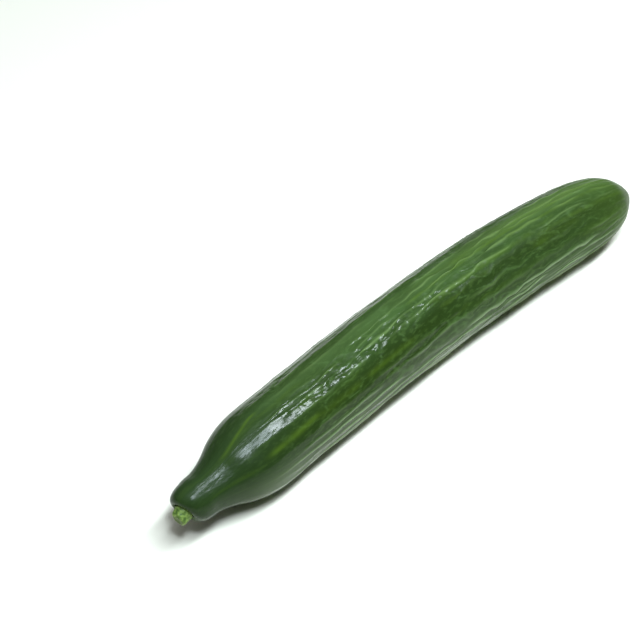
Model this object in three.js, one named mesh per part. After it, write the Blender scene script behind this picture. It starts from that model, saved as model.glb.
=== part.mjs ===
// A long seedless greenhouse cucumber, whole and freshly picked, lying on its side.
// The fruit is one solid grown in one piece: a bent body with a narrow neck, a rounded blossom end and
// lengthwise ribs. The stub of its cut stem is a second solid, which stands in a shallow socket in the neck.
// Millimetres. +X runs from the stem to the blossom end and +Z is up. The origin is on the surface that the
// cucumber lies on, under the middle of its bounding box.
import * as THREE from "three";

// Driving dimensions of the fruit
const FRUIT_LENGTH = 330;
const AXIS_HEIGHT = 22; // a little under the body's radius: its weight presses the belly flat
const OUTLINE = [
  // distance from the neck's end, radius
  [2.4, 0],
  [2.4, 3.4],
  [2.2, 4.55],
  [0.8, 4.85],
  [0.05, 5.5],
  [0.15, 6.7],
  [0.9, 8.1],
  [2.3, 9.3],
  [5, 10.4],
  [9, 11.1],
  [14, 11.3],
  [19, 12.4],
  [25, 14.6],
  [33, 18.3],
  [43, 21.2],
  [55, 22.4],
  [77, 22.4],
  [120, 22.7],
  [170, 22.9],
  [215, 23.0],
  [250, 22.4],
  [280, 21.4],
  [297, 20.2],
  [309, 17.9],
  [318, 14.2],
  [324.5, 8.9],
  [328.2, 4.6],
  [329.4, 2.6],
  [330, 0],
];

// The axis bows sideways, towards +Y, and turns back most near the blossom end
const BOW = 10.6;
const BOW_SKEW = 4.8;
const BOW_HOOK = 2.6;

// Near the neck's end it also bends down and a little towards -Y, and the stem goes on the same way
const END_BEND = 22; // degrees
const END_BEND_LENGTH = 6; // from where the bend starts to the neck's end
const END_BEND_DIRECTION = 234; // degrees round the axis from +Y over the top

// Ribs of the upper side: where each crest runs, in degrees round the axis from +Y over the top, and how
// strongly it stands out, both at RIB_STATIONS. Some of them rise or die away along the body.
const RIB_STATIONS = [45, 105, 165, 225, 285]; // distances from the neck's end
const UPPER_RIBS = [
  { crest: [80, 78, 73, 69, 67], strength: [0.5, 0.9, 0.8, 0.5, 0.4] },
  { crest: [96, 94, 87, 81, 78], strength: [0.3, 0.8, 0.9, 0.8, 0.4] },
  { crest: [101, 102, 95, 89, 86], strength: [0.2, 0.3, 0.8, 1.0, 0.9] },
  { crest: [107, 111, 104, 98, 97], strength: [0.7, 0.9, 0.6, 0.6, 0.8] },
  { crest: [121, 122, 113, 109, 112], strength: [0.8, 1.0, 1.0, 1.0, 0.9] },
  { crest: [138, 137, 128, 122, 123], strength: [0.5, 0.5, 0.2, 0.1, 0.1] },
  { crest: [152, 150, 144, 137, 136], strength: [0.8, 1.0, 1.0, 1.0, 1.0] },
  { crest: [163, 164, 155, 154, 150], strength: [0.6, 0.9, 0.9, 0.7, 0.4] },
  { crest: [174, 176, 173, 171, 165], strength: [0.3, 0.8, 0.9, 0.9, 0.9] },
  { crest: [185, 187, 183, 181, 177], strength: [0.8, 0.9, 0.9, 0.7, 0.6] },
  { crest: [198, 199, 195, 193, 190], strength: [0.7, 0.8, 0.8, 0.8, 0.7] },
];
const OTHER_RIBS = 16; // spaced evenly over the rest of the way round
const RIB_HEIGHT = 0.75; // crest to furrow, at full strength
const RIB_SWAY = 0.9; // degrees, in waves of RIB_SWAY_LENGTH
const RIB_SWAY_LENGTH = 34;
const RIBS_START = [30, 80]; // no ribs before the first, full ribs after the second
const RIBS_END = [300, 329];

// The neck is slightly six-sided
const NECK_SIDES = 6;
const NECK_SIDE_HEIGHT = 0.28;
const NECK_SIDES_START = [2, 12];
const NECK_SIDES_END = [25, 110];
const NECK_SIDES_TURN = 90; // degrees round the axis to the middle of one rounded corner

// Driving dimensions of the stem stub
const STEM_LENGTH = 7; // from its base to the cut
const STEM_BASE_RADIUS = 4.5;
const STEM_CUT_RADIUS = 3.8;
const STEM_CORNERS = 5;
const STEM_CORNER_HEIGHT = 0.25;
const CUT_SLANT = 8; // degrees from square, with the lower side left longer
const CUT_DISH = 0.6; // the pith dries back below the rim
const SEAT_DEPTH = 2.4;
const SEAT_GAP = 0.3;

// How finely the skins are divided: columns run along the ribs, and rings are shared out over the outline
const COLUMNS_PER_RIB = 4;
const RING_ZONES = [
  // rings, up to this point of the outline
  [16, 10],
  [8, 15],
  [18, 21],
  [11, 28],
];
const STEM_SIDES = 30;
const STEM_RINGS_PER_POINT = 2;

const { clamp, degToRad, lerp, smoothstep, euclideanModulo } = THREE.MathUtils;

// Sideways offset of the axis at the distance x from the neck's end.
function bowAt(x) {
  const along = (2 * x) / FRUIT_LENGTH - 1;
  return (1 - along * along) * (BOW + BOW_SKEW * along + BOW_HOOK * along ** 3);
}

// The axis' heading at x, as an angle about +Z.
function headingAt(x) {
  return Math.atan2(bowAt(x + 0.5) - bowAt(x - 0.5), 1);
}

// How far a point of a section is on the side that the end bends to, from its offsets across and up.
function towardsBend(across, up) {
  const direction = degToRad(END_BEND_DIRECTION);
  return across * Math.cos(direction) + up * Math.sin(direction);
}

// The point of the section at x that lies at the given offsets across and up from the axis. The bend grows
// evenly from its start to the neck's end and then stays, and the sections lean as the axis does.
function onAxis(x, across, up) {
  const bent = clamp(1 - x / END_BEND_LENGTH, 0, 1);
  const slope = Math.tan(degToRad(END_BEND));
  const drop = slope * ((END_BEND_LENGTH * bent * bent) / 2 + Math.max(-x, 0));
  const direction = degToRad(END_BEND_DIRECTION);
  const along = x + slope * bent * towardsBend(across, up);
  const sideways = across + drop * Math.cos(direction);
  const heading = headingAt(x);
  return [
    along - sideways * Math.sin(heading),
    bowAt(x) + sideways * Math.cos(heading),
    Math.max(AXIS_HEIGHT + up + drop * Math.sin(direction), 0), // pressed flat where it rests
  ];
}

// A value given at RIB_STATIONS, carried smoothly to the distance x.
function atStation(values, x) {
  const [first, last] = [RIB_STATIONS.at(0), RIB_STATIONS.at(-1)];
  const share = clamp((x - first) / (last - first), 0, 1);
  return new THREE.SplineCurve(values.map((value) => new THREE.Vector2(0, value))).getPoint(share).y;
}

// The upper ribs, then the others spread evenly from the last of the upper ones round to the first.
const topRib = UPPER_RIBS.at(0);
const sideRib = UPPER_RIBS.at(-1);
const otherRibs = Array.from({ length: OTHER_RIBS }, (_, i) => {
  const share = (i + 1) / (OTHER_RIBS + 1);
  return {
    crest: sideRib.crest.map((degrees, k) => lerp(degrees, topRib.crest[k] + 360, share)),
    strength: RIB_STATIONS.map((_, k) => 0.75 + 0.25 * Math.sin(2.4 * i + 1.7 * k)),
  };
});
const ribs = [...UPPER_RIBS, ...otherRibs];

// Where the crest of a rib runs at x, in radians: its track, with its own slow sway. The rib after the last
// one is the first one again, a whole turn further on.
function crestAngle(index, x) {
  const rib = index % ribs.length;
  const turns = Math.floor(index / ribs.length);
  const sway = Math.sin((2 * Math.PI * x) / RIB_SWAY_LENGTH + 2.4 * rib);
  return degToRad(atStation(ribs[rib].crest, x) + 360 * turns + RIB_SWAY * sway);
}

// How far the skin stands out from the outline at x, at a share of the way from one crest to the next.
function ribRelief(index, share, x) {
  const present = smoothstep(x, ...RIBS_START) * (1 - smoothstep(x, ...RIBS_END));
  const crest = (rib, nearness) => atStation(ribs[rib % ribs.length].strength, x) * nearness;
  const nearness = 0.5 + 0.5 * Math.cos(Math.PI * Math.min(2 * share, 1));
  const nextNearness = 0.5 + 0.5 * Math.cos(Math.PI * Math.min(2 * (1 - share), 1));
  return RIB_HEIGHT * present * (crest(index, nearness) + crest(index + 1, nextNearness) - 0.5);
}

function neckRelief(x, angle) {
  const present = smoothstep(x, ...NECK_SIDES_START) * (1 - smoothstep(x, ...NECK_SIDES_END));
  const fromCorner = angle - degToRad(NECK_SIDES_TURN);
  return NECK_SIDE_HEIGHT * present * Math.cos(NECK_SIDES * fromCorner);
}

// A closed skin of rings, one for each entry of stations, between two poles. pointAt(station, column) gives a
// point of the ring, and gives one and the same point for every column at the first and last stations.
function closedSkin(stations, columns, pointAt) {
  const rings = stations.length - 2;
  const positions = [...pointAt(stations.at(0), 0)];
  for (const station of stations.slice(1, -1)) {
    for (let column = 0; column < columns; column++) {
      positions.push(...pointAt(station, column));
    }
  }
  positions.push(...pointAt(stations.at(-1), 0));
  const vertex = (ring, column) => 1 + ring * columns + (column % columns);
  const lastPole = 1 + rings * columns;
  const indices = [];
  for (let column = 0; column < columns; column++) {
    indices.push(0, vertex(0, column + 1), vertex(0, column));
    for (let ring = 0; ring < rings - 1; ring++) {
      const [a, b] = [vertex(ring, column), vertex(ring, column + 1)];
      const [c, d] = [vertex(ring + 1, column), vertex(ring + 1, column + 1)];
      indices.push(a, b, d, a, d, c);
    }
    indices.push(lastPole, vertex(rings - 1, column), vertex(rings - 1, column + 1));
  }
  const geometry = new THREE.BufferGeometry();
  geometry.setAttribute("position", new THREE.Float32BufferAttribute(positions, 3));
  geometry.setIndex(indices);
  geometry.computeVertexNormals();
  return geometry;
}

// A smooth curve through pairs of distance and radius.
function curveThrough(pairs) {
  return new THREE.SplineCurve(pairs.map(([x, radius]) => new THREE.Vector2(x, radius)));
}

// The fruit: the outline carried round the bent axis, with its relief.
function fruitGeometry() {
  const outline = curveThrough(OUTLINE);
  const intervals = OUTLINE.length - 1;
  const stations = [0];
  let reached = 0;
  for (const [rings, upTo] of RING_ZONES) {
    for (let i = 1; i <= rings; i++) {
      stations.push(lerp(reached, upTo, i / rings) / intervals);
    }
    reached = upTo;
  }
  return closedSkin(stations, ribs.length * COLUMNS_PER_RIB, (station, column) => {
    const { x, y } = outline.getPoint(station);
    const rib = Math.floor(column / COLUMNS_PER_RIB);
    const share = euclideanModulo(column / COLUMNS_PER_RIB, 1);
    const angle = lerp(crestAngle(rib, x), crestAngle(rib + 1, x), share);
    const atPole = station === 0 || station === 1;
    const radius = atPole ? 0 : y + ribRelief(rib, share, x) + neckRelief(x, angle);
    return onAxis(x, radius * Math.cos(angle), radius * Math.sin(angle));
  });
}

// The stem stub, from its base outwards: slightly five-sided and cut at a slant. Its base stands off the
// socket's floor by SEAT_GAP.
function stemGeometry() {
  const pairs = [
    [0, 0],
    [0, STEM_BASE_RADIUS * 0.85],
    [0.5, STEM_BASE_RADIUS],
    [SEAT_DEPTH, STEM_BASE_RADIUS],
    [SEAT_DEPTH + 1.8, lerp(STEM_BASE_RADIUS, STEM_CUT_RADIUS, 0.6)],
    [STEM_LENGTH - 1.3, STEM_CUT_RADIUS],
    [STEM_LENGTH - 0.5, STEM_CUT_RADIUS * 0.88],
    [STEM_LENGTH - 0.1, STEM_CUT_RADIUS * 0.66],
    [STEM_LENGTH - 0.35, STEM_CUT_RADIUS * 0.42],
    [STEM_LENGTH - CUT_DISH, 0],
  ];
  const outline = curveThrough(pairs);
  const steps = (pairs.length - 1) * STEM_RINGS_PER_POINT;
  const stations = Array.from({ length: steps + 1 }, (_, i) => i / steps);
  return closedSkin(stations, STEM_SIDES, (station, column) => {
    const { x, y } = outline.getPoint(station);
    const angle = (column / STEM_SIDES) * 2 * Math.PI;
    const free = smoothstep(x, SEAT_DEPTH, STEM_LENGTH);
    const corner = free * STEM_CORNER_HEIGHT * Math.cos(STEM_CORNERS * angle);
    const atPole = station === 0 || station === 1;
    const radius = atPole ? 0 : y * (1 + corner / STEM_CUT_RADIUS);
    const [across, up] = [-radius * Math.cos(angle), radius * Math.sin(angle)];
    const slant = free * Math.tan(degToRad(CUT_SLANT)) * towardsBend(across, up);
    return onAxis(SEAT_DEPTH - SEAT_GAP - x - slant, across, up);
  });
}

const skinGreen = new THREE.MeshStandardMaterial({ color: 0x40692c, roughness: 0.35, metalness: 0 });
const stemGreen = new THREE.MeshStandardMaterial({ color: 0x7fa248, roughness: 0.7, metalness: 0 });

const fruit = new THREE.Mesh(fruitGeometry(), skinGreen);
fruit.name = "fruit";

const stem = new THREE.Mesh(stemGeometry(), stemGreen);
stem.name = "stem_stub";

// The origin goes under the middle of the bounding box.
const cucumber = new THREE.Group();
cucumber.name = "cucumber";
cucumber.add(fruit, stem);
const middle = new THREE.Box3().setFromObject(cucumber, true).getCenter(new THREE.Vector3());
cucumber.position.set(-middle.x, -middle.y, 0);

export default cucumber;
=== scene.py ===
# %% [markdown]
# # A greenhouse cucumber
#
# This notebook dresses the construction model of a long seedless cucumber: a fruit and the stub of its stem.
# The model's two solids already have the real size and place. Each is replaced here by a finer skin that is
# worked out from the same dimensions, with the wrinkles, colours and gloss that the real one shows.
# Lengths are in millimetres until a mesh is made, because that is how a cucumber is measured.

import bpy
import numpy as np
from mathutils import Matrix, Vector


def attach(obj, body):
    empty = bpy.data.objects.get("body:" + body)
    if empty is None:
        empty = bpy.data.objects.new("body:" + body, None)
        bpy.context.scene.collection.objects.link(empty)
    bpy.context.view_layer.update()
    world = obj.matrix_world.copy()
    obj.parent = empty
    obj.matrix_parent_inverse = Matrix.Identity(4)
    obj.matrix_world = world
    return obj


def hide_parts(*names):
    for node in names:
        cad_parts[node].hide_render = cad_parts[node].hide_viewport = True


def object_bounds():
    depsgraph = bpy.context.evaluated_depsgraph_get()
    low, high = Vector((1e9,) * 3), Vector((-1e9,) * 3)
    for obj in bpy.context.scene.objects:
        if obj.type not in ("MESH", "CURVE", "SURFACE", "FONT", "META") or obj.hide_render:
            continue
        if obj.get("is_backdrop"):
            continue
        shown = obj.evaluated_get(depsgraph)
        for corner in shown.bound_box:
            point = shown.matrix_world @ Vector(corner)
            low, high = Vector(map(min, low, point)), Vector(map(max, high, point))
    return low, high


MILLIMETRE = 0.001

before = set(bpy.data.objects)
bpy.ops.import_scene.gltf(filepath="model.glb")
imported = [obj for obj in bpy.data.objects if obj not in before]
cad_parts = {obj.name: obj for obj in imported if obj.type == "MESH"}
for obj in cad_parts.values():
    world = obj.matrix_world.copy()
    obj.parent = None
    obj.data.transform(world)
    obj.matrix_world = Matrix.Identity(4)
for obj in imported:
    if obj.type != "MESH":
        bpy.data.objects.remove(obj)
cad_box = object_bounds()
print("construction nodes:", sorted(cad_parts))

# %% [markdown]
# ## Smooth curves through a few points
#
# The outline of the fruit, the tracks of its ribs and the outline of the stem are all given by a few points
# that a hand could measure. A Catmull-Rom spline passes through every one of them with no corner, and it
# needs nothing but the points, which is why it is used for all three.


# %% Spline and smooth step
def spline(points, share):
    """A Catmull-Rom curve through points, at shares 0 to 1 of the way along them, all spans counting alike.
    In each span the curve is a cubic that passes through both of its ends, and its slope at either end is
    half the step between the point before and the point after. The end points stand in for missing ones."""
    points = np.asarray(points, float)
    last = len(points) - 1
    place = np.clip(share, 0, 1) * last
    span = np.minimum(place.astype(int), last - 1)
    w = (place - span)[:, None]
    before, start = points[np.maximum(span - 1, 0)], points[span]
    end, after = points[span + 1], points[np.minimum(span + 2, last)]
    slope_in, slope_out = (end - before) / 2, (after - start) / 2
    cubic = 2 * start - 2 * end + slope_in + slope_out
    square = 3 * end - 3 * start - 2 * slope_in - slope_out
    return cubic * w**3 + square * w**2 + slope_in * w + start


def smooth_step(value, low, high):
    """0 below low, 1 above high, and 3t^2 - 2t^3 in between, where t is the share of the way."""
    t = np.clip((value - low) / (high - low), 0, 1)
    return t * t * (3 - 2 * t)


print("a third of the way up a smooth step:", round(float(smooth_step(1 / 3, 0, 1)), 3))

# %% [markdown]
# ## The body of the fruit
#
# A cucumber is nearly a surface of revolution round an axis that bows sideways. So its shape is two curves:
# the radius along its length, and the sideways offset of the axis. The socket that the stem grows from is
# part of the same outline, which starts on the axis at the socket's floor and turns over the neck's rim.
# Points are placed by one function, which bends the axis and presses the belly flat where it rests.

# %% Outline and axis
FRUIT_LENGTH = 330.0
AXIS_HEIGHT = 22.0
OUTLINE = [  # distance from the neck's end, radius
    (2.4, 0), (2.4, 3.4), (2.2, 4.55), (0.8, 4.85), (0.05, 5.5), (0.15, 6.7), (0.9, 8.1), (2.3, 9.3), (5, 10.4),
    (9, 11.1), (14, 11.3), (19, 12.4), (25, 14.6), (33, 18.3), (43, 21.2), (55, 22.4), (77, 22.4), (120, 22.7),
    (170, 22.9), (215, 23.0), (250, 22.4), (280, 21.4), (297, 20.2), (309, 17.9), (318, 14.2), (324.5, 8.9),
    (328.2, 4.6), (329.4, 2.6), (330, 0),
]
BOW, BOW_SKEW, BOW_HOOK = 10.6, 4.8, 2.6  # even bow, bow nearer the blossom end, turn back at that end
END_BEND, END_BEND_LENGTH, END_BEND_DIRECTION = np.radians(22), 6, np.radians(234)


def bow_at(x):
    """Sideways offset of the axis: (1 - s^2)(bow + skew s + hook s^3), where s runs from -1 to 1."""
    s = 2 * x / FRUIT_LENGTH - 1
    return (1 - s * s) * (BOW + BOW_SKEW * s + BOW_HOOK * s**3)


def heading_at(x):
    """The axis' heading at x, as an angle about +Z, from the offsets half a millimetre to either side."""
    return np.arctan2(bow_at(x + 0.5) - bow_at(x - 0.5), 1)


# The blossom end's pole is a corner of the solid, and the only one there at the axis' height. The axis has no
# offset at it, so it says where the shape lies in the frame.
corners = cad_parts["fruit"].data.vertices
solid = np.empty(3 * len(corners), np.float32)
corners.foreach_get("co", solid)
solid = solid.reshape(-1, 3) / MILLIMETRE
tip = solid[solid[:, 0] > solid[:, 0].max() - 1]
pole = tip[np.abs(tip[:, 2] - AXIS_HEIGHT).argmin()]
PLACE = np.array([pole[0] - FRUIT_LENGTH, pole[1], 0])
print("the neck's end is at", PLACE.round(2), "mm in the frame")


def towards_bend(across, up):
    """How far a point of a section is on the side that the neck's end bends to."""
    return across * np.cos(END_BEND_DIRECTION) + up * np.sin(END_BEND_DIRECTION)


def on_axis(x, across, up):
    """The point of the section at x that lies at the given offsets across and up from the axis, in the frame.
    Near the neck's end the axis bends down and to the side, by a slope that grows evenly to the end and then
    stays for the stem. The sections lean with it, and the table presses the lowest points flat."""
    bent = np.clip(1 - x / END_BEND_LENGTH, 0, 1)
    slope = np.tan(END_BEND)
    drop = slope * (END_BEND_LENGTH * bent**2 / 2 + np.maximum(-x, 0))
    along = x + slope * bent * towards_bend(across, up)
    sideways = across + drop * np.cos(END_BEND_DIRECTION)
    heading = heading_at(x)
    points = np.stack(np.broadcast_arrays(
        along - sideways * np.sin(heading),
        bow_at(x) + sideways * np.cos(heading),
        np.maximum(AXIS_HEIGHT + up + drop * np.sin(END_BEND_DIRECTION), 0),
    ), axis=-1)
    return points + PLACE

# %% [markdown]
# ## The camera
#
# The cucumber is seen from above at 45 degrees, across its length, with its stem end nearest. A long lens a
# metre away keeps it nearly as thick at the far end as at the near one. Placing the camera by its target,
# its heading and its height over the horizon is easier to follow than typing its position.

# %% Camera
CAMERA_HEADING = np.radians(-43.7)
CAMERA_ELEVATION = np.radians(45.0)
CAMERA_DISTANCE = 1000.0
CAMERA_TARGET = PLACE + (150.9, 63.1, 0)
SENSOR_WIDTH, LENS = 36, 103.7  # millimetres, as on a real camera
FARTHEST_SEEN = 20  # metres

towards_camera = np.array([
    np.sin(CAMERA_HEADING) * np.cos(CAMERA_ELEVATION),
    -np.cos(CAMERA_HEADING) * np.cos(CAMERA_ELEVATION),
    np.sin(CAMERA_ELEVATION),
])
camera = bpy.data.objects.new("camera", bpy.data.cameras.new("camera"))
camera.data.sensor_width = SENSOR_WIDTH
camera.data.lens = LENS
camera.data.clip_end = FARTHEST_SEEN
camera.location = (CAMERA_TARGET + CAMERA_DISTANCE * towards_camera) * MILLIMETRE
camera.rotation_euler = Vector(-towards_camera).to_track_quat("-Z", "Y").to_euler()
bpy.context.collection.objects.link(camera)
bpy.context.scene.camera = camera
print("camera at", [round(value, 3) for value in camera.location])

# %% [markdown]
# ## The ribs
#
# Low ribs run the length of the fruit. They wander, lean slowly round it, and rise or die away on the way.
# The upper ones are given one by one: the angle of each crest at five distances from the neck, and how
# strongly it stands out there. The rest are spread evenly round the underside. The columns of the mesh
# follow the ribs, so that every crest and furrow lies on an edge and stays sharp.

# %% Tracks of the ribs
RIB_STATIONS = np.array([45.0, 105.0, 165.0, 225.0, 285.0])  # distances from the neck's end
UPPER_CRESTS = np.array([  # degrees round the axis, from level on the bow's outer side over the top
    [80, 78, 73, 69, 67], [96, 94, 87, 81, 78], [101, 102, 95, 89, 86], [107, 111, 104, 98, 97],
    [121, 122, 113, 109, 112], [138, 137, 128, 122, 123], [152, 150, 144, 137, 136], [163, 164, 155, 154, 150],
    [174, 176, 173, 171, 165], [185, 187, 183, 181, 177], [198, 199, 195, 193, 190],
], float)
UPPER_STRENGTHS = np.array([  # how much of the full height each crest has at each station
    [0.5, 0.9, 0.8, 0.5, 0.4], [0.3, 0.8, 0.9, 0.8, 0.4], [0.2, 0.3, 0.8, 1.0, 0.9], [0.7, 0.9, 0.6, 0.6, 0.8],
    [0.8, 1.0, 1.0, 1.0, 0.9], [0.5, 0.5, 0.2, 0.1, 0.1], [0.8, 1.0, 1.0, 1.0, 1.0], [0.6, 0.9, 0.9, 0.7, 0.4],
    [0.3, 0.8, 0.9, 0.9, 0.9], [0.8, 0.9, 0.9, 0.7, 0.6], [0.7, 0.8, 0.8, 0.8, 0.7],
])
OTHER_RIBS = 16
RIB_HEIGHT = 0.75
RIB_SWAY, RIB_SWAY_LENGTH = 0.9, 34.0  # degrees, millimetres
OUT_OF_STEP = 2.4  # radians from each rib to the next, near the golden angle, so that no two sway alike
RIBS_START, RIBS_END = (30, 80), (300, 329)  # where the ribs rise out of the neck, and where they die away

others = np.arange(OTHER_RIBS)[:, None]
gap_share = (others + 1) / (OTHER_RIBS + 1)
other_crests = (1 - gap_share) * UPPER_CRESTS[-1] + gap_share * (UPPER_CRESTS[0] + 360)
other_strengths = 0.75 + 0.25 * np.sin(OUT_OF_STEP * others + 1.7 * np.arange(len(RIB_STATIONS)))
crests = np.concatenate([UPPER_CRESTS, other_crests])
strengths = np.concatenate([UPPER_STRENGTHS, other_strengths])
RIBS = len(crests)


def at_stations(values, x):
    """Rows of values given at RIB_STATIONS, carried smoothly to the distances x: one row for each row."""
    share = (x - RIB_STATIONS[0]) / (RIB_STATIONS[-1] - RIB_STATIONS[0])
    return spline(values.T, share).T


def crest_angles(x):
    """Where each crest runs at x, in radians: its track plus a slow sine sway with a phase of its own."""
    sway = np.sin(2 * np.pi * x / RIB_SWAY_LENGTH + OUT_OF_STEP * np.arange(RIBS)[:, None])
    return np.radians(at_stations(crests, x) + RIB_SWAY * sway)


print(RIBS, "ribs, on average", round(360 / RIBS, 1), "degrees apart")

# %% [markdown]
# ## The grid of the skin
#
# Every point of the skin has a ring, which says how far along the outline it is, and a column, which says
# between which two ribs it lies. Rings crowd together where the outline turns sharply, at the neck's rim and
# the blossom end, and are about a millimetre apart elsewhere, which is as fine as the picture can show.

# %% Rings and columns
RINGS = 360
COLUMNS_PER_RIB = 10
# How much closer together the rings are at either end, and over about how many millimetres that fades.
NECK_CROWDING, NECK_REACH = 2.5, 8
BLOSSOM_CROWDING, BLOSSOM_REACH = 1, 12

fine_share = np.linspace(0, 1, 6001)
fine_outline = spline(OUTLINE, fine_share)
fine_x = (fine_outline[1:, 0] + fine_outline[:-1, 0]) / 2
crowding = 1 + NECK_CROWDING * np.exp(-fine_x / NECK_REACH)
crowding = crowding + BLOSSOM_CROWDING * np.exp((fine_x - FRUIT_LENGTH) / BLOSSOM_REACH)
travelled = np.concatenate([[0], np.cumsum(crowding * np.hypot(*np.diff(fine_outline, axis=0).T))])
ring_share = np.interp(np.linspace(0, travelled[-1], RINGS + 1), travelled, fine_share)[1:-1]
x, outline_radius = spline(OUTLINE, ring_share).T

column = np.arange(RIBS * COLUMNS_PER_RIB)
rib, rib_share = column // COLUMNS_PER_RIB, (column % COLUMNS_PER_RIB) / COLUMNS_PER_RIB
crest = crest_angles(x)
crest = np.concatenate([crest, crest[:1] + 2 * np.pi]).T
angle = crest[:, rib] * (1 - rib_share) + crest[:, rib + 1] * rib_share
around = 2 * np.pi * column / len(column)
print("grid:", angle.shape, "rings are", round(np.diff(x)[150:200].mean(), 2), "mm apart in the middle")

# %% [markdown]
# ## Noise wound round the fruit
#
# Between the ribs the skin is crinkled like a dried leaf. No two crinkles are alike, so they come from value
# noise: random heights on a lattice, blended smoothly. The lattice is wound round the fruit and closed on
# itself, so no seam shows. Blender's noise textures could move the skin as well, but then the colours could not
# be worked out from the same heights.


# %% Value noise
def wound_noise(cell, cells_round, seed):
    """Heights from -1 to 1 over the grid: random values on a lattice of cell millimetres along the fruit and
    cells_round cells round it, blended along both ways by the smooth step."""
    lattice = np.random.default_rng(seed).uniform(-1, 1, (int(FRUIT_LENGTH / cell) + 4, cells_round))
    along, across = (x / cell + 1)[:, None], (around / (2 * np.pi) * cells_round)[None]
    i, j = np.floor(along).astype(int), np.floor(across).astype(int)
    u, v = smooth_step(along - i, 0, 1), smooth_step(across - j, 0, 1)
    near = lattice[i, j % cells_round] * (1 - v) + lattice[i, (j + 1) % cells_round] * v
    far = lattice[i + 1, j % cells_round] * (1 - v) + lattice[i + 1, (j + 1) % cells_round] * v
    return near * (1 - u) + far * u


print("40 cells round the body are", round(2 * np.pi * outline_radius.max() / 40, 1), "mm wide each")

# %% [markdown]
# ## Ridges, cords and beads
#
# A rib is a broad low ridge with a thin raised line on its crest, like a cord under the skin, which comes and
# goes every centimetre or two. A bell curve raised to a high power turns the broad ridge into the thin line. On
# the lower half a fainter cord also runs in some furrows. On two ribs of the upper front the cord breaks up
# into beads of about 2 mm, and each of them catches the light by itself.

# %% Ridges, cords and beads
on_body = (smooth_step(x, *RIBS_START) * (1 - smooth_step(x, *RIBS_END)))[:, None]
towards_blossom = smooth_step(x, 90, 230)[:, None]
strength = at_stations(strengths, x).T
strength = np.concatenate([strength, strength[:, :1]], axis=1)


def bell(share):
    """1 on a crest, 0 half way to the next one, and half a cosine wave in between."""
    return 0.5 + 0.5 * np.cos(np.pi * np.minimum(2 * share, 1))


ridge = strength[:, rib] * bell(rib_share) + strength[:, rib + 1] * bell(1 - rib_share)

# How clear the cord of each rib is, from the top rib round to the top rib again.
CORDS = np.array(
    [0.4, 0.5, 0.7, 0.8, 1.0, 0.2, 0.8, 0.9, 1.0, 1.0, 1.0] + [1.0] * (OTHER_RIBS - 3) + [0.5, 0.4, 0.4, 0.4]
)
CORD_POWER = 7
cord = CORDS[rib] * bell(rib_share) ** CORD_POWER + CORDS[rib + 1] * bell(1 - rib_share) ** CORD_POWER
cord = cord * np.clip(0.6 + 0.8 * wound_noise(14, RIBS, 12), 0, 1)
FIRST_CORDED_FURROW = 7
in_furrow = np.where(
    (rib >= FIRST_CORDED_FURROW) & (rib < RIBS - 1), bell(np.abs(rib_share - 0.5)) ** CORD_POWER, 0
)
cord = cord + in_furrow * np.clip(1.2 * wound_noise(18, RIBS, 16) - 0.35, 0, 0.8)

BEADED_RIBS = {4: np.radians(6), 3: np.radians(5)}  # how far the beads spread to either side of each crest
BEADS_START, BEADS_END = (60, 90), (190, 240)
beaded = sum(np.exp(-((angle - crest[:, [rib_number]]) / spread) ** 2)
             for rib_number, spread in BEADED_RIBS.items())
beaded = beaded * (smooth_step(x, *BEADS_START) * (1 - smooth_step(x, *BEADS_END)))[:, None]
beads = beaded * np.clip(wound_noise(2.1, 75, 15), -0.3, 1)
print(f"cords cover {(cord > 0.3).mean():.0%} of the grid and beads {(beads > 0.3).mean():.1%}")

# %% [markdown]
# ## The whole relief
#
# The rest is lower still: long shallow dents, a fine crumple, and a net of veins that grows stronger towards
# the blossom end. A vein lies where a slow noise passes through zero, because that is always a line and never
# a spot. The crests waver a little too, so the columns of the grid are turned to and fro before the heights are
# added up. All of it fades out on the neck, which is smooth and slightly six-sided.

# %% Relief
dents = wound_noise(11, 64, 3) + 0.5 * wound_noise(5, 110, 4)
net = wound_noise(15, 34, 5) + 0.35 * wound_noise(6, 70, 6)
VEIN_REACH = 0.13  # how far from zero the noise still counts as a vein
vein = np.clip(1 - np.abs(net) / VEIN_REACH, 0, 1) ** 2
crumple = wound_noise(2.6, 90, 7)
angle = angle + np.radians(1.1 + 1.5 * towards_blossom) * on_body * wound_noise(7, 40, 11)

# The angle of each point from straight down. The underside is all of the lower half and fades out above it.
from_below = np.abs(angle - np.radians(270))
under_side = smooth_step(from_below, np.radians(122), np.radians(92))

# Heights in millimetres. A rib is about as high as the solid's, but most of it is cord and less of it ridge.
RIDGE_HEIGHT, FURROW_DEPTH = 0.22, 0.3  # as shares of RIB_HEIGHT
CORD_HEIGHT, BEAD_HEIGHT, DENT_DEPTH, VEIN_HEIGHT, CRUMPLE_HEIGHT = 0.45, 0.24, 0.08, 0.26, 0.06
cord_height = CORD_HEIGHT * cord * (1 + 0.35 * under_side) * (1 - 0.8 * np.clip(beaded, 0, 1))
relief = RIB_HEIGHT * on_body * (RIDGE_HEIGHT * ridge - FURROW_DEPTH)
relief = relief + on_body * (cord_height + BEAD_HEIGHT * beads)
vein_height = VEIN_HEIGHT * vein * (0.3 + 0.7 * towards_blossom)
relief += on_body * (DENT_DEPTH * dents + vein_height + CRUMPLE_HEIGHT * crumple)

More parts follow.
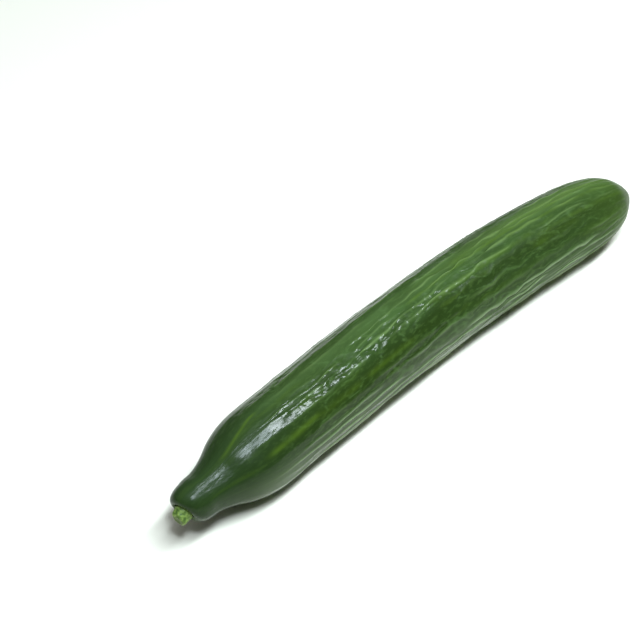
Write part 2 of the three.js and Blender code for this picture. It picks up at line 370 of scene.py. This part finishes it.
NECK_SIDES, NECK_SIDE_HEIGHT, NECK_SIDES_TURN = 6, 0.28, np.radians(90)
NECK_SIDES_START, NECK_SIDES_END = (2, 12), (25, 110)
NECK_DENT_DEPTH = 0.025
on_neck = (smooth_step(x, *NECK_SIDES_START) * (1 - smooth_step(x, *NECK_SIDES_END)))[:, None]
relief += NECK_SIDE_HEIGHT * on_neck * np.cos(NECK_SIDES * (angle - NECK_SIDES_TURN))
relief += NECK_DENT_DEPTH * smooth_step(x, 3, 10)[:, None] * dents * (1 - on_body)
print("relief from", relief.min().round(2), "to", relief.max().round(2), "mm")

# %% [markdown]
# ## Where the skin is pale or waxy, and where light and shade are painted on it
#
# On the real skin the colours follow the relief. The cords of the upper side are pale, and those of the
# underside and the low side of the neck wear a bloom of wax. Painted light is laid over these colours: the skin
# is lighter on the top and darker on the front, as light from above falls on it, the top carries a painted sheen
# that grows towards the blossom end, and the underside carries a painted reflection of the white table. So the
# share of each colour is worked out here from the same arrays, and the material only has to mix them. A painted
# picture would need a seam, and it would not follow the ribs if they were moved.

# %% Pale, waxy and painted-light shares
# How pale the skin is near each rib, from the top rib round to the top rib again. The top ribs are palest and
# the front ones darkest: partly the skin's own stripes and partly painted light from above.
PALENESS_WITH_PAINTED_LIGHT = np.array([1.0, 1.0, 0.95, 0.75, 0.55, 0.15, 0.25, 0.3, 0.4, 0.5, 0.6] + [0.6] * OTHER_RIBS + [1.0])
tone_with_painted_light = PALENESS_WITH_PAINTED_LIGHT[rib] * (1 - rib_share) + PALENESS_WITH_PAINTED_LIGHT[rib + 1] * rib_share
# The cords of the upper side are pale, and they follow the paleness above, so they too carry its painted lighter
# top.
pale_and_painted_sheen = 1.2 * cord * tone_with_painted_light * (1 - under_side) * (1 + 0.5 * towards_blossom) * (1 + 0.7 * wound_noise(30, RIBS, 8))

# A painted sheen along the top of the fruit, faint all along and stronger towards the blossom end.
PAINTED_SHEEN_MIDDLE, PAINTED_SHEEN_WIDTH = np.radians(80), np.radians(13)
from_painted_sheen = np.abs((angle - PAINTED_SHEEN_MIDDLE + np.pi) % (2 * np.pi) - np.pi)
painted_top_sheen = np.exp(-(from_painted_sheen / PAINTED_SHEEN_WIDTH) ** 2) * (0.12 + 0.33 * smooth_step(x, 170, 260))[:, None]
pale_and_painted_sheen = np.clip(pale_and_painted_sheen + painted_top_sheen, 0, 1)

# The low side, strongest on the neck, and the cords of the underside get a pale grey-green that is partly a
# bloom of wax and partly a painted reflection of the white table.
low_side_bloom_and_sheen = smooth_step(from_below, np.radians(118), np.radians(84))
low_side_bloom_and_sheen = low_side_bloom_and_sheen * (0.1 + 0.5 * (1 - on_body)) * smooth_step(x, 10, 45)[:, None]
bloom_and_table_sheen = np.clip(low_side_bloom_and_sheen + 1.3 * cord * under_side * on_body, 0, 1)
tone_with_painted_light = np.clip(tone_with_painted_light * (1 + 0.4 * wound_noise(45, 12, 14)) * (0.6 + 0.4 * towards_blossom), 0, 1)
print("mean shares: pale", pale_and_painted_sheen.mean().round(2), "bloom_and_table_sheen", bloom_and_table_sheen.mean().round(2), "tone_with_painted_light", tone_with_painted_light.mean().round(2))

# %% [markdown]
# ## Yellow-green patches and streaks
#
# Skin that had less light stays yellow-green, in soft patches between the ribs and in a few long streaks. The
# patches are noise. The streaks are too few for that, so each is given by its two ends. It fades as a bell
# curve does, to either side within its own width and beyond its ends within a few millimetres.

# %% Patches and streaks
STREAK_END_FADE = 5
STREAKS = [  # distance and angle where it starts, the same where it ends, half its width in mm, strength
    (30, 92, 50, 81, 0.9, 1.0), (200, 85, 312, 78, 3.0, 0.6), (48, 139, 75, 137, 1.6, 0.9),
    (83, 140, 105, 139, 1.8, 0.7), (118, 139, 146, 138, 1.5, 0.7), (176, 113, 246, 112, 1.5, 0.6),
    (165, 95, 315, 83, 0.9, 0.8), (238, 97, 312, 97, 0.9, 0.7), (255, 118, 318, 119, 1.1, 0.6),
    (250, 129, 275, 128, 2.0, 0.5),
]
patch = 0.4 * smooth_step(wound_noise(26, 44, 9), 0.3, 0.8) * (1 - np.clip(ridge, 0, 1))
for start, start_angle, end, end_angle, half_width, amount in STREAKS:
    share_along = np.clip((x[:, None] - start) / (end - start), 0, 1)
    beyond = x[:, None] - (start + share_along * (end - start))
    middle = np.radians(start_angle + share_along * (end_angle - start_angle))
    aside = outline_radius[:, None] * (angle - middle)
    patch = np.maximum(patch, amount * np.exp(-(aside / half_width) ** 2 - (beyond / STREAK_END_FADE) ** 2))
patch = patch * (0.75 + 0.4 * wound_noise(7, 60, 17))
print(len(STREAKS), f"streaks; yellow-green covers {(patch > 0.3).mean():.0%} of the grid")

# %% [markdown]
# ## From grid to mesh
#
# A closed skin is a stack of rings with a single point at either end. One function turns any such stack into
# a mesh and stores numbers on its points, which the material reads later. It is used for the fruit and for
# the stem. Writing whole arrays into the mesh takes a fraction of a second; adding points one by one doesn't.


# %% Closed skin
def closed_skin(name, rings, poles, marks):
    """A mesh from an array of rings, ring by column by place in millimetres, with quads between neighbouring
    rings and a fan of triangles to the pole at either end, all facing out. marks are arrays of one number or
    three for each point of the grid, with the values at the two poles, stored under their names."""
    height, width = rings.shape[:2]
    points = np.concatenate([[poles[0]], rings.reshape(-1, 3), [poles[1]]])
    here = 1 + np.arange(height * width).reshape(height, width)
    beside = np.roll(here, -1, axis=1)
    quads = np.stack([here[:-1], beside[:-1], beside[1:], here[1:]], -1).reshape(-1, 4)
    first_fan = np.stack([np.zeros(width, int), beside[0], here[0]], -1)
    last_fan = np.stack([np.full(width, len(points) - 1), here[-1], beside[-1]], -1)
    mesh = bpy.data.meshes.new(name)
    mesh.from_pydata(points * MILLIMETRE, [], [*quads.tolist(), *first_fan.tolist(), *last_fan.tolist()])
    mesh.polygons.foreach_set("use_smooth", np.ones(len(mesh.polygons), bool))
    for mark, (values, at_first, at_last) in marks.items():
        size = values.shape[2] if values.ndim == 3 else 1
        flat = np.concatenate([np.ravel(at_first), np.ravel(values), np.ravel(at_last)]).astype(np.float32)
        attribute = mesh.attributes.new(mark, "FLOAT_VECTOR" if size == 3 else "FLOAT", "POINT")
        attribute.data.foreach_set("vector" if size == 3 else "value", flat)
    mesh.validate()
    piece = bpy.data.objects.new(name, mesh)
    bpy.context.collection.objects.link(piece)
    print(name, "has", sum(len(face.vertices) - 2 for face in mesh.polygons), "triangles")
    return piece


# %% [markdown]
# ## The skin of the fruit
#
# The outline and the relief together give the radius, and the bent axis carries it into place. The mesh also
# carries marks for its material. The flow is the same grid with the bow and the lean of the ribs taken out, so
# a pattern that is stretched along it follows the ribs. The others say where the neck, the blossom end with its
# scar and the pale collar round the stem are, and how dull the wax is.

# %% Fruit
radius = outline_radius[:, None] + relief
place = on_axis(x[:, None], radius * np.cos(angle), radius * np.sin(angle))
socket_floor, blossom_pole = on_axis(np.array([OUTLINE[0][0], FRUIT_LENGTH]), 0, 0)

MEAN_RADIUS = 22.5
flow = np.stack(np.broadcast_arrays(x[:, None], MEAN_RADIUS * np.cos(around), MEAN_RADIUS * np.sin(around)), -1)
neck = np.broadcast_to(1 - smooth_step(x, 8, 100)[:, None], angle.shape)
blossom = np.broadcast_to(smooth_step(x, 265, 326)[:, None], angle.shape)
collar = np.broadcast_to((1 - smooth_step(np.hypot(x, outline_radius - 5), 0.4, 2.2))[:, None], angle.shape)
scar = np.broadcast_to((1 - smooth_step(outline_radius, 1.5, 3.5))[:, None] * (x > 300)[:, None], angle.shape)

# The wax is glossiest on the shoulder, duller on the neck and dullest on the blossom half.
GLOSSY, NECK_DULLNESS, BLOSSOM_DULLNESS = 0.11, 0.08, 0.18
dull = GLOSSY + NECK_DULLNESS * (1 - smooth_step(x, 25, 60)) + BLOSSOM_DULLNESS * smooth_step(x, 170, 230)

# Three of the marks below hold painted light besides the skin's own colours: a lighter top and darker front, a
# painted sheen on the top, and a painted reflection of the table on the underside.
fruit = closed_skin("fruit_skin", place, (socket_floor, blossom_pole), {
    "flow": (flow, (OUTLINE[0][0], 0, 0), (FRUIT_LENGTH, 0, 0)),
    "pale_and_painted_sheen": (pale_and_painted_sheen * on_body, 0, 0),
    "tone_with_painted_light": (tone_with_painted_light, 0, 0),
    "bloom_and_table_sheen": (bloom_and_table_sheen, 0, 0),
    "patch": (patch, 0, 0),
    "vein": (vein * on_body, 0, 0),
    "neck": (neck, 1, 0),
    "dull": (np.broadcast_to(dull[:, None], angle.shape), dull[0], dull[-1]),
    "blossom": (blossom, 0, 1),
    "collar": (collar, 1, 0),
    "scar": (scar, 0, 1),
})
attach(fruit, "root")
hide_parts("fruit")

# %% [markdown]
# ## Nodes and colours
#
# A procedural material is a small network of nodes. One function adds a node of any kind, sets its options
# and joins its inputs, which keeps the network readable as a list of steps. Colours are written as the eye
# sees them on a screen, in hexadecimal, and turned into the linear light that the renderer counts in.


# %% Helpers for materials
def linear(code):
    """A screen colour such as "3f6b28" as linear light: (c/12.92) in the dark, ((c+0.055)/1.055)^2.4 above."""
    screen = np.array([int(code[i:i + 2], 16) for i in (0, 2, 4)]) / 255
    light = np.where(screen <= 0.04045, screen / 12.92, ((screen + 0.055) / 1.055) ** 2.4)
    return (*light.tolist(), 1.0)


def add_node(material, kind, inputs={}, **settings):
    """Adds one node: settings are its options, and inputs are values for its sockets or outputs to join."""
    tree = material.node_tree
    node = tree.nodes.new(kind)
    for name, value in settings.items():
        setattr(node, name, value)
    for name, value in inputs.items():
        if isinstance(value, bpy.types.NodeSocket):
            tree.links.new(value, node.inputs[name])
        else:
            node.inputs[name].default_value = value
    return node


# The Mix node has a factor and two colours at these places, and the mixed colour at MIXED.
FACTOR, FIRST, SECOND, MIXED = 0, 6, 7, 2
print("the middle green as linear light:", [round(part, 3) for part in linear("3f592c")[:3]])

# %% [markdown]
# ## Waxy skin
#
# Cucumber skin is a thin cuticle of natural wax over green cells. The green is darkest in the furrows and on the
# neck, paler on the cords, and streaked yellow-green where there was less light. Painted light lies over it as
# well: a lighter top, a painted sheen on the top and a painted reflection of the table on the underside. Smaller
# patterns lie over that: a broad mottle, thin flecks, and places where the wax was rubbed duller. They are too
# small to be worth marks on the mesh, so the material draws them, along the flow so that they are longer than
# they are wide.

# %% Marks and patterns of the skin
skin = bpy.data.materials.new("waxy_skin")
skin.use_nodes = True
skin.node_tree.nodes.clear()

shares = {
    name: add_node(skin, "ShaderNodeAttribute", attribute_name=name).outputs["Fac"]
    for name in ("pale_and_painted_sheen", "tone_with_painted_light", "bloom_and_table_sheen", "patch", "vein", "neck", "dull", "blossom", "collar", "scar")
}
skin_flow = add_node(skin, "ShaderNodeAttribute", attribute_name="flow").outputs["Vector"]

# Each pattern is noise with cells of a size in millimetres, along the fruit and round it. What lies between the
# two levels is spread from 0 to 1.
PATTERNS = {
    "mottle": ((26, 7), (0.35, 0.65)),
    "flecks": ((4, 1.4), (0.45, 0.70)),
    "rubbed": ((9, 4), (0.30, 0.70)),
}
for name, ((cell_along, cell_round), (low, high)) in PATTERNS.items():
    cells = (1 / cell_along, 1 / cell_round, 1 / cell_round)
    scaled = add_node(skin, "ShaderNodeMapping", {"Vector": skin_flow, "Scale": cells})
    noise = add_node(skin, "ShaderNodeTexNoise", {"Vector": scaled.outputs[0], "Scale": 1.0, "Detail": 2.0})
    shares[name] = add_node(skin, "ShaderNodeMapRange", {
        "Value": noise.outputs["Fac"], "From Min": low, "From Max": high,
    }, interpolation_type="SMOOTHSTEP").outputs[0]
print("shares for the material:", sorted(shares))

# %% [markdown]
# ## The greens
#
# The colours are laid over one another as a painter lays thin glazes: the dark green of a furrow first, and then
# each next colour as far as its share goes. A list keeps the order plain, and one colour can be changed with no
# harm to the others.

# %% Colours of the skin
FURROW_GREEN = "1b2909"
LAYERS = [  # which share, how much of it at most, and the colour
    # Three of these layers hold painted light besides the skin's own colours: the first is lighter on the top
    # and darker on the front, the third holds a painted sheen on the top, and the fourth a painted reflection of
    # the table on the underside.
    ("tone_with_painted_light", 1.0, "3f592c"),
    ("mottle", 0.4, "24350f"),
    ("pale_and_painted_sheen", 0.9, "667e48"),
    ("bloom_and_table_sheen", 0.85, "889b72"),
    ("flecks", 0.3, "4a6230"),
    ("vein", 0.5, "506b3a"),
    ("neck", 0.8, "25371b"),
    ("patch", 0.6, "4b641c"),
    ("blossom", 0.4, "465e26"),
    ("collar", 0.3, "5c7638"),
    ("scar", 1.0, "6c6850"),
]
colour = linear(FURROW_GREEN)
for name, most, code in LAYERS:
    share = add_node(skin, "ShaderNodeMath", {0: shares[name], 1: most}, operation="MULTIPLY").outputs[0]
    colour = add_node(skin, "ShaderNodeMix", {FACTOR: share, FIRST: colour, SECOND: linear(code)},
                      data_type="RGBA").outputs[MIXED]
print(len(LAYERS), "colours laid over the furrows' green")

# %% [markdown]
# ## The wax
#
# The wax is clear, smooth and about as dense to light as any plant wax, and it lies over every cord and bead, so
# they glint one by one. To the eye it is glossy on the shoulder. Where it is dull, its surface is a fine bloom
# that spreads the light and mirrors less of it, so there it is both rougher and weaker. Crinkles of 0.1 mm are
# too low for the mesh, and all that they do is tilt the mirrored light, so a bump is enough for them.

# %% Wax over the green
CRINKLE_CELLS = (1 / 3, 1 / 2, 1 / 2)  # crinkles of 3 mm along the fruit and 2 mm round it
CRINKLE_DEPTH = 0.1 * MILLIMETRE
WAX_IOR = 1.42
RUBBED_DULLNESS = 0.08
GLOSSY_MIRRORING, DULL_MIRRORING = 0.22, 0.1

crinkle_cells = add_node(skin, "ShaderNodeMapping", {"Vector": skin_flow, "Scale": CRINKLE_CELLS})
crinkle = add_node(skin, "ShaderNodeTexNoise", {
    "Vector": crinkle_cells.outputs[0], "Scale": 1.0, "Detail": 1.0,
})
wax_relief = add_node(skin, "ShaderNodeBump", {
    "Height": crinkle.outputs["Fac"], "Distance": CRINKLE_DEPTH, "Strength": 1.0,
})
wax_roughness = add_node(skin, "ShaderNodeMath", {
    0: shares["rubbed"], 1: RUBBED_DULLNESS, 2: shares["dull"],
}, operation="MULTIPLY_ADD")
wax_gloss = add_node(skin, "ShaderNodeMapRange", {
    "Value": shares["dull"], "From Min": GLOSSY, "From Max": GLOSSY + BLOSSOM_DULLNESS,
    "To Min": GLOSSY_MIRRORING, "To Max": DULL_MIRRORING,
})
wax = add_node(skin, "ShaderNodeBsdfPrincipled", {
    "Base Color": colour, "Roughness": wax_roughness.outputs[0], "IOR": WAX_IOR, "Normal": wax_relief.outputs[0],
    "Specular IOR Level": wax_gloss.outputs[0],
})
add_node(skin, "ShaderNodeOutputMaterial", {"Surface": wax.outputs[0]})
fruit.data.materials.append(skin)
print("waxy skin:", len(skin.node_tree.nodes), "nodes")

# %% [markdown]
# ## The stem stub
#
# The stem is cut about 5 mm from the fruit. It is fibrous, slightly five-cornered and matt. Its cut is rounded
# at the edge and dished in the middle, where the pith has dried back. It hangs a little, so its rings turn as
# they leave the socket. It is an outline carried round the same bent axis, like the fruit, so the two always
# meet at the same angle.

# %% Stem shape
STEM_LENGTH, SEAT_DEPTH, SEAT_GAP = 7.0, 2.4, 0.3
STEM_BASE, STEM_CUT = 4.5, 3.8  # radii
STEM_CORNERS, STEM_CORNER_HEIGHT = 5, 0.25
CUT_SLANT, CUT_DISH = np.radians(8), 0.6
STEM_OUTLINE = [  # distance from the seated end, radius
    (0, 0), (0, STEM_BASE * 0.85), (0.5, STEM_BASE), (SEAT_DEPTH, STEM_BASE),
    (SEAT_DEPTH + 1.8, STEM_BASE * 0.4 + STEM_CUT * 0.6), (STEM_LENGTH - 1.3, STEM_CUT),
    (STEM_LENGTH - 0.5, STEM_CUT * 0.88), (STEM_LENGTH - 0.1, STEM_CUT * 0.66),
    (STEM_LENGTH - 0.35, STEM_CUT * 0.42), (STEM_LENGTH - CUT_DISH, 0),
]
STEM_RINGS, STEM_COLUMNS = 120, 120
FIBRE_HEIGHT = 0.07

stem_share = np.linspace(0, 1, STEM_RINGS + 1)[1:-1]
stem_x, stem_outline = spline(STEM_OUTLINE, stem_share).T[..., None]
stem_angle = np.linspace(0, 2 * np.pi, STEM_COLUMNS, endpoint=False)[None]
free = smooth_step(stem_x, SEAT_DEPTH, STEM_LENGTH)
stem_radius = stem_outline * (1 + free * STEM_CORNER_HEIGHT * np.cos(STEM_CORNERS * stem_angle) / STEM_CUT)

# Two sets of fibres, 23 and 41 round the stem, bunch together and drift apart. The middle of the cut has none.
fibres = np.cos(23 * stem_angle + 3 * np.sin(3 * stem_angle)) + 0.7 * np.cos(41 * stem_angle + 0.8 * stem_x)
fibrous = smooth_step(stem_outline, 1.5, 4)
stem_radius += FIBRE_HEIGHT * fibres * fibrous * smooth_step(stem_x, SEAT_DEPTH, SEAT_DEPTH + 1)
across, up = -stem_radius * np.cos(stem_angle), stem_radius * np.sin(stem_angle)
slant = free * np.tan(CUT_SLANT) * towards_bend(across, up)
SEAT = SEAT_DEPTH - SEAT_GAP
stem_place = on_axis(SEAT - stem_x - slant, across, up)
stem_poles = on_axis(np.array([SEAT, SEAT - STEM_LENGTH + CUT_DISH]), 0, 0)

CUT_STARTS = 0.7  # as a share of the outline's points
cut_face = np.broadcast_to(stem_share[:, None] > CUT_STARTS, stem_radius.shape).astype(float)
cut_face *= 1 - smooth_step(stem_radius, STEM_CUT * 0.5, STEM_CUT * 0.85)
stem = closed_skin("stem_stub_cut", stem_place, stem_poles, {"cut": (cut_face, 0, 1)})
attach(stem, "root")
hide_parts("stem_stub")

# %% [markdown]
# ## Cut stem
#
# Fresh stem tissue is yellow-green and matt: wet fibres under no wax, so the eye sees colour and hardly any
# shine. Darker and paler flecks show where the fibres end, and the cut face is a darker olive where the sap has
# dried. The same noise colours the flecks and raises them, so that each fleck is also a small bump.

# %% Stem material
FLECK_SIZE = 1.5 * MILLIMETRE  # object coordinates are metres
FLECK_HEIGHT = 0.25 * MILLIMETRE
stem_skin = bpy.data.materials.new("fibrous_stem")
stem_skin.use_nodes = True
stem_skin.node_tree.nodes.clear()

cut_share = add_node(stem_skin, "ShaderNodeAttribute", attribute_name="cut").outputs["Fac"]
position = add_node(stem_skin, "ShaderNodeTexCoord").outputs["Object"]
flecks = add_node(stem_skin, "ShaderNodeTexNoise", {"Vector": position, "Scale": 1 / FLECK_SIZE})
fleck_spread = add_node(stem_skin, "ShaderNodeMapRange", {
    "Value": flecks.outputs["Fac"], "From Min": 0.35, "From Max": 0.65,
})
stem_green = add_node(stem_skin, "ShaderNodeMix", {
    FACTOR: fleck_spread.outputs[0], FIRST: linear("3f5a1c"), SECOND: linear("7c9644"),
}, data_type="RGBA")
cut_olive = add_node(stem_skin, "ShaderNodeMix", {
    FACTOR: cut_share, FIRST: stem_green.outputs[MIXED], SECOND: linear("55682a"),
}, data_type="RGBA")
fibre_bump = add_node(stem_skin, "ShaderNodeBump", {
    "Height": flecks.outputs["Fac"], "Distance": FLECK_HEIGHT, "Strength": 0.8,
})
stem_surface = add_node(stem_skin, "ShaderNodeBsdfPrincipled", {
    "Base Color": cut_olive.outputs[MIXED], "Roughness": 0.55, "IOR": 1.42, "Normal": fibre_bump.outputs[0],
})
add_node(stem_skin, "ShaderNodeOutputMaterial", {"Surface": stem_surface.outputs[0]})
stem.data.materials.append(stem_skin)
print("fibrous stem:", len(stem_skin.node_tree.nodes), "nodes")

# %% [markdown]
# ## Table
#
# The cucumber lies on a plain white table. It is chalky and mirrors nothing, so the shadow on it stays soft. Its
# white is a warm one, which makes up for the slightly blue light of the lamps.

# %% Table
TABLE_HALF_SIZE = 6  # metres, so that its edge is far outside the picture
WARM_WHITE = (0.92, 0.88, 0.76, 1)
corner_signs = [(-1, -1), (1, -1), (1, 1), (-1, 1)]
table_mesh = bpy.data.meshes.new("table")
table_mesh.from_pydata(
    [(TABLE_HALF_SIZE * i, TABLE_HALF_SIZE * j, 0) for i, j in corner_signs], [], [(0, 1, 2, 3)]
)
table = bpy.data.objects.new("table", table_mesh)
bpy.context.collection.objects.link(table)
white_table = bpy.data.materials.new("white_table")
white_table.use_nodes = True
table_surface = white_table.node_tree.nodes["Principled BSDF"]
table_surface.inputs["Base Color"].default_value = WARM_WHITE
table_surface.inputs["Roughness"].default_value = 0.9
table_surface.inputs["Specular IOR Level"].default_value = 0.0
table_mesh.materials.append(white_table)
table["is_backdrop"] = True
print("the table is", 2 * TABLE_HALF_SIZE, "m wide")

# %% [markdown]
# ## Lamps
#
# Glossy wax shows the shape of every lamp, so each lamp here is a highlight that was wanted. A long soft box in
# front of and above the fruit is mirrored in the shoulder. A smaller one further along is mirrored only by the
# slopes of the beads. A panel makes the streak on the neck, and a wide weak one fills in. One big lamp would be
# simpler, but it would lay a single white band along the whole fruit.


# %% Soft lamps
def soft_light(name, place, size, watts, colour):
    """A rectangular lamp at place, in millimetres, that faces the cucumber's middle. Its long side is along X:
    the lamp's own axes are that side, the one square to it, and the way from the cucumber to the lamp."""
    lamp = bpy.data.lights.new(name, "AREA")
    lamp.shape = "RECTANGLE"
    lamp.size, lamp.size_y = (side * MILLIMETRE for side in size)
    lamp.energy = watts
    lamp.color = colour
    away = Vector(place).normalized()
    long_side = (Vector((1, 0, 0)) - away.x * away).normalized()
    lamp_object = bpy.data.objects.new(name, lamp)
    lamp_object.rotation_euler = Matrix((long_side, away.cross(long_side), away)).transposed().to_euler()
    lamp_object.location = Vector(place) * MILLIMETRE
    bpy.context.collection.objects.link(lamp_object)
    print(name, "stands", round(Vector(place).length), "mm away and gives", watts, "W")


BLUISH, FAINTLY_BLUE = (0.78, 0.90, 1.0), (0.84, 0.93, 1.0)
soft_light("soft_box", (80, -325, 1090), (600, 160), 9, BLUISH)
soft_light("far_box", (480, -310, 1080), (170, 180), 5, FAINTLY_BLUE)
soft_light("neck_panel", (-300, -405, 1080), (180, 180), 6, BLUISH)
soft_light("wide_panel", (60, -200, 1200), (1200, 900), 5, FAINTLY_BLUE)

# %% [markdown]
# ## Room
#
# The room gives only a little light, from a bright patch overhead that fades towards the walls, so the greens
# stay deep. How bright it is depends on how far a direction points up. The picture shows the renderer's light
# as it is, with no film curve, because the colours were written down as the eye sees them.

# %% Room light
BRIGHT_SIDE = (0, 0.25, 0.97)
WALL_LIGHT, CEILING_LIGHT = 0.03, 0.35
room = bpy.data.worlds.new("room")
bpy.context.scene.world = room
room.use_nodes = True
background = room.node_tree.nodes["Background"]
background.inputs["Color"].default_value = (0.95, 0.98, 1.0, 1)
direction = add_node(room, "ShaderNodeTexCoord").outputs["Generated"]
upness = add_node(room, "ShaderNodeVectorMath", {0: direction, 1: BRIGHT_SIDE}, operation="DOT_PRODUCT")
glow = add_node(room, "ShaderNodeMapRange", {
    "Value": upness.outputs["Value"], "From Min": 0.45, "From Max": 0.95,
    "To Min": WALL_LIGHT, "To Max": CEILING_LIGHT,
})
room.node_tree.links.new(glow.outputs[0], background.inputs["Strength"])
bpy.context.scene.view_settings.view_transform = "Standard"
print("the room glows from", WALL_LIGHT, "at the walls to", CEILING_LIGHT, "overhead")

# %% [markdown]
# ## Size
#
# The skins have to fill the box of the construction model and no more. Both boxes are printed.

# %% Print the boxes
boxes = {"cad": cad_box, "visual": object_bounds()}
plain = {name: [[float(value) for value in corner] for corner in box] for name, box in boxes.items()}
for name, box in plain.items():
    print(name, [[round(value / MILLIMETRE, 2) for value in corner] for corner in box])
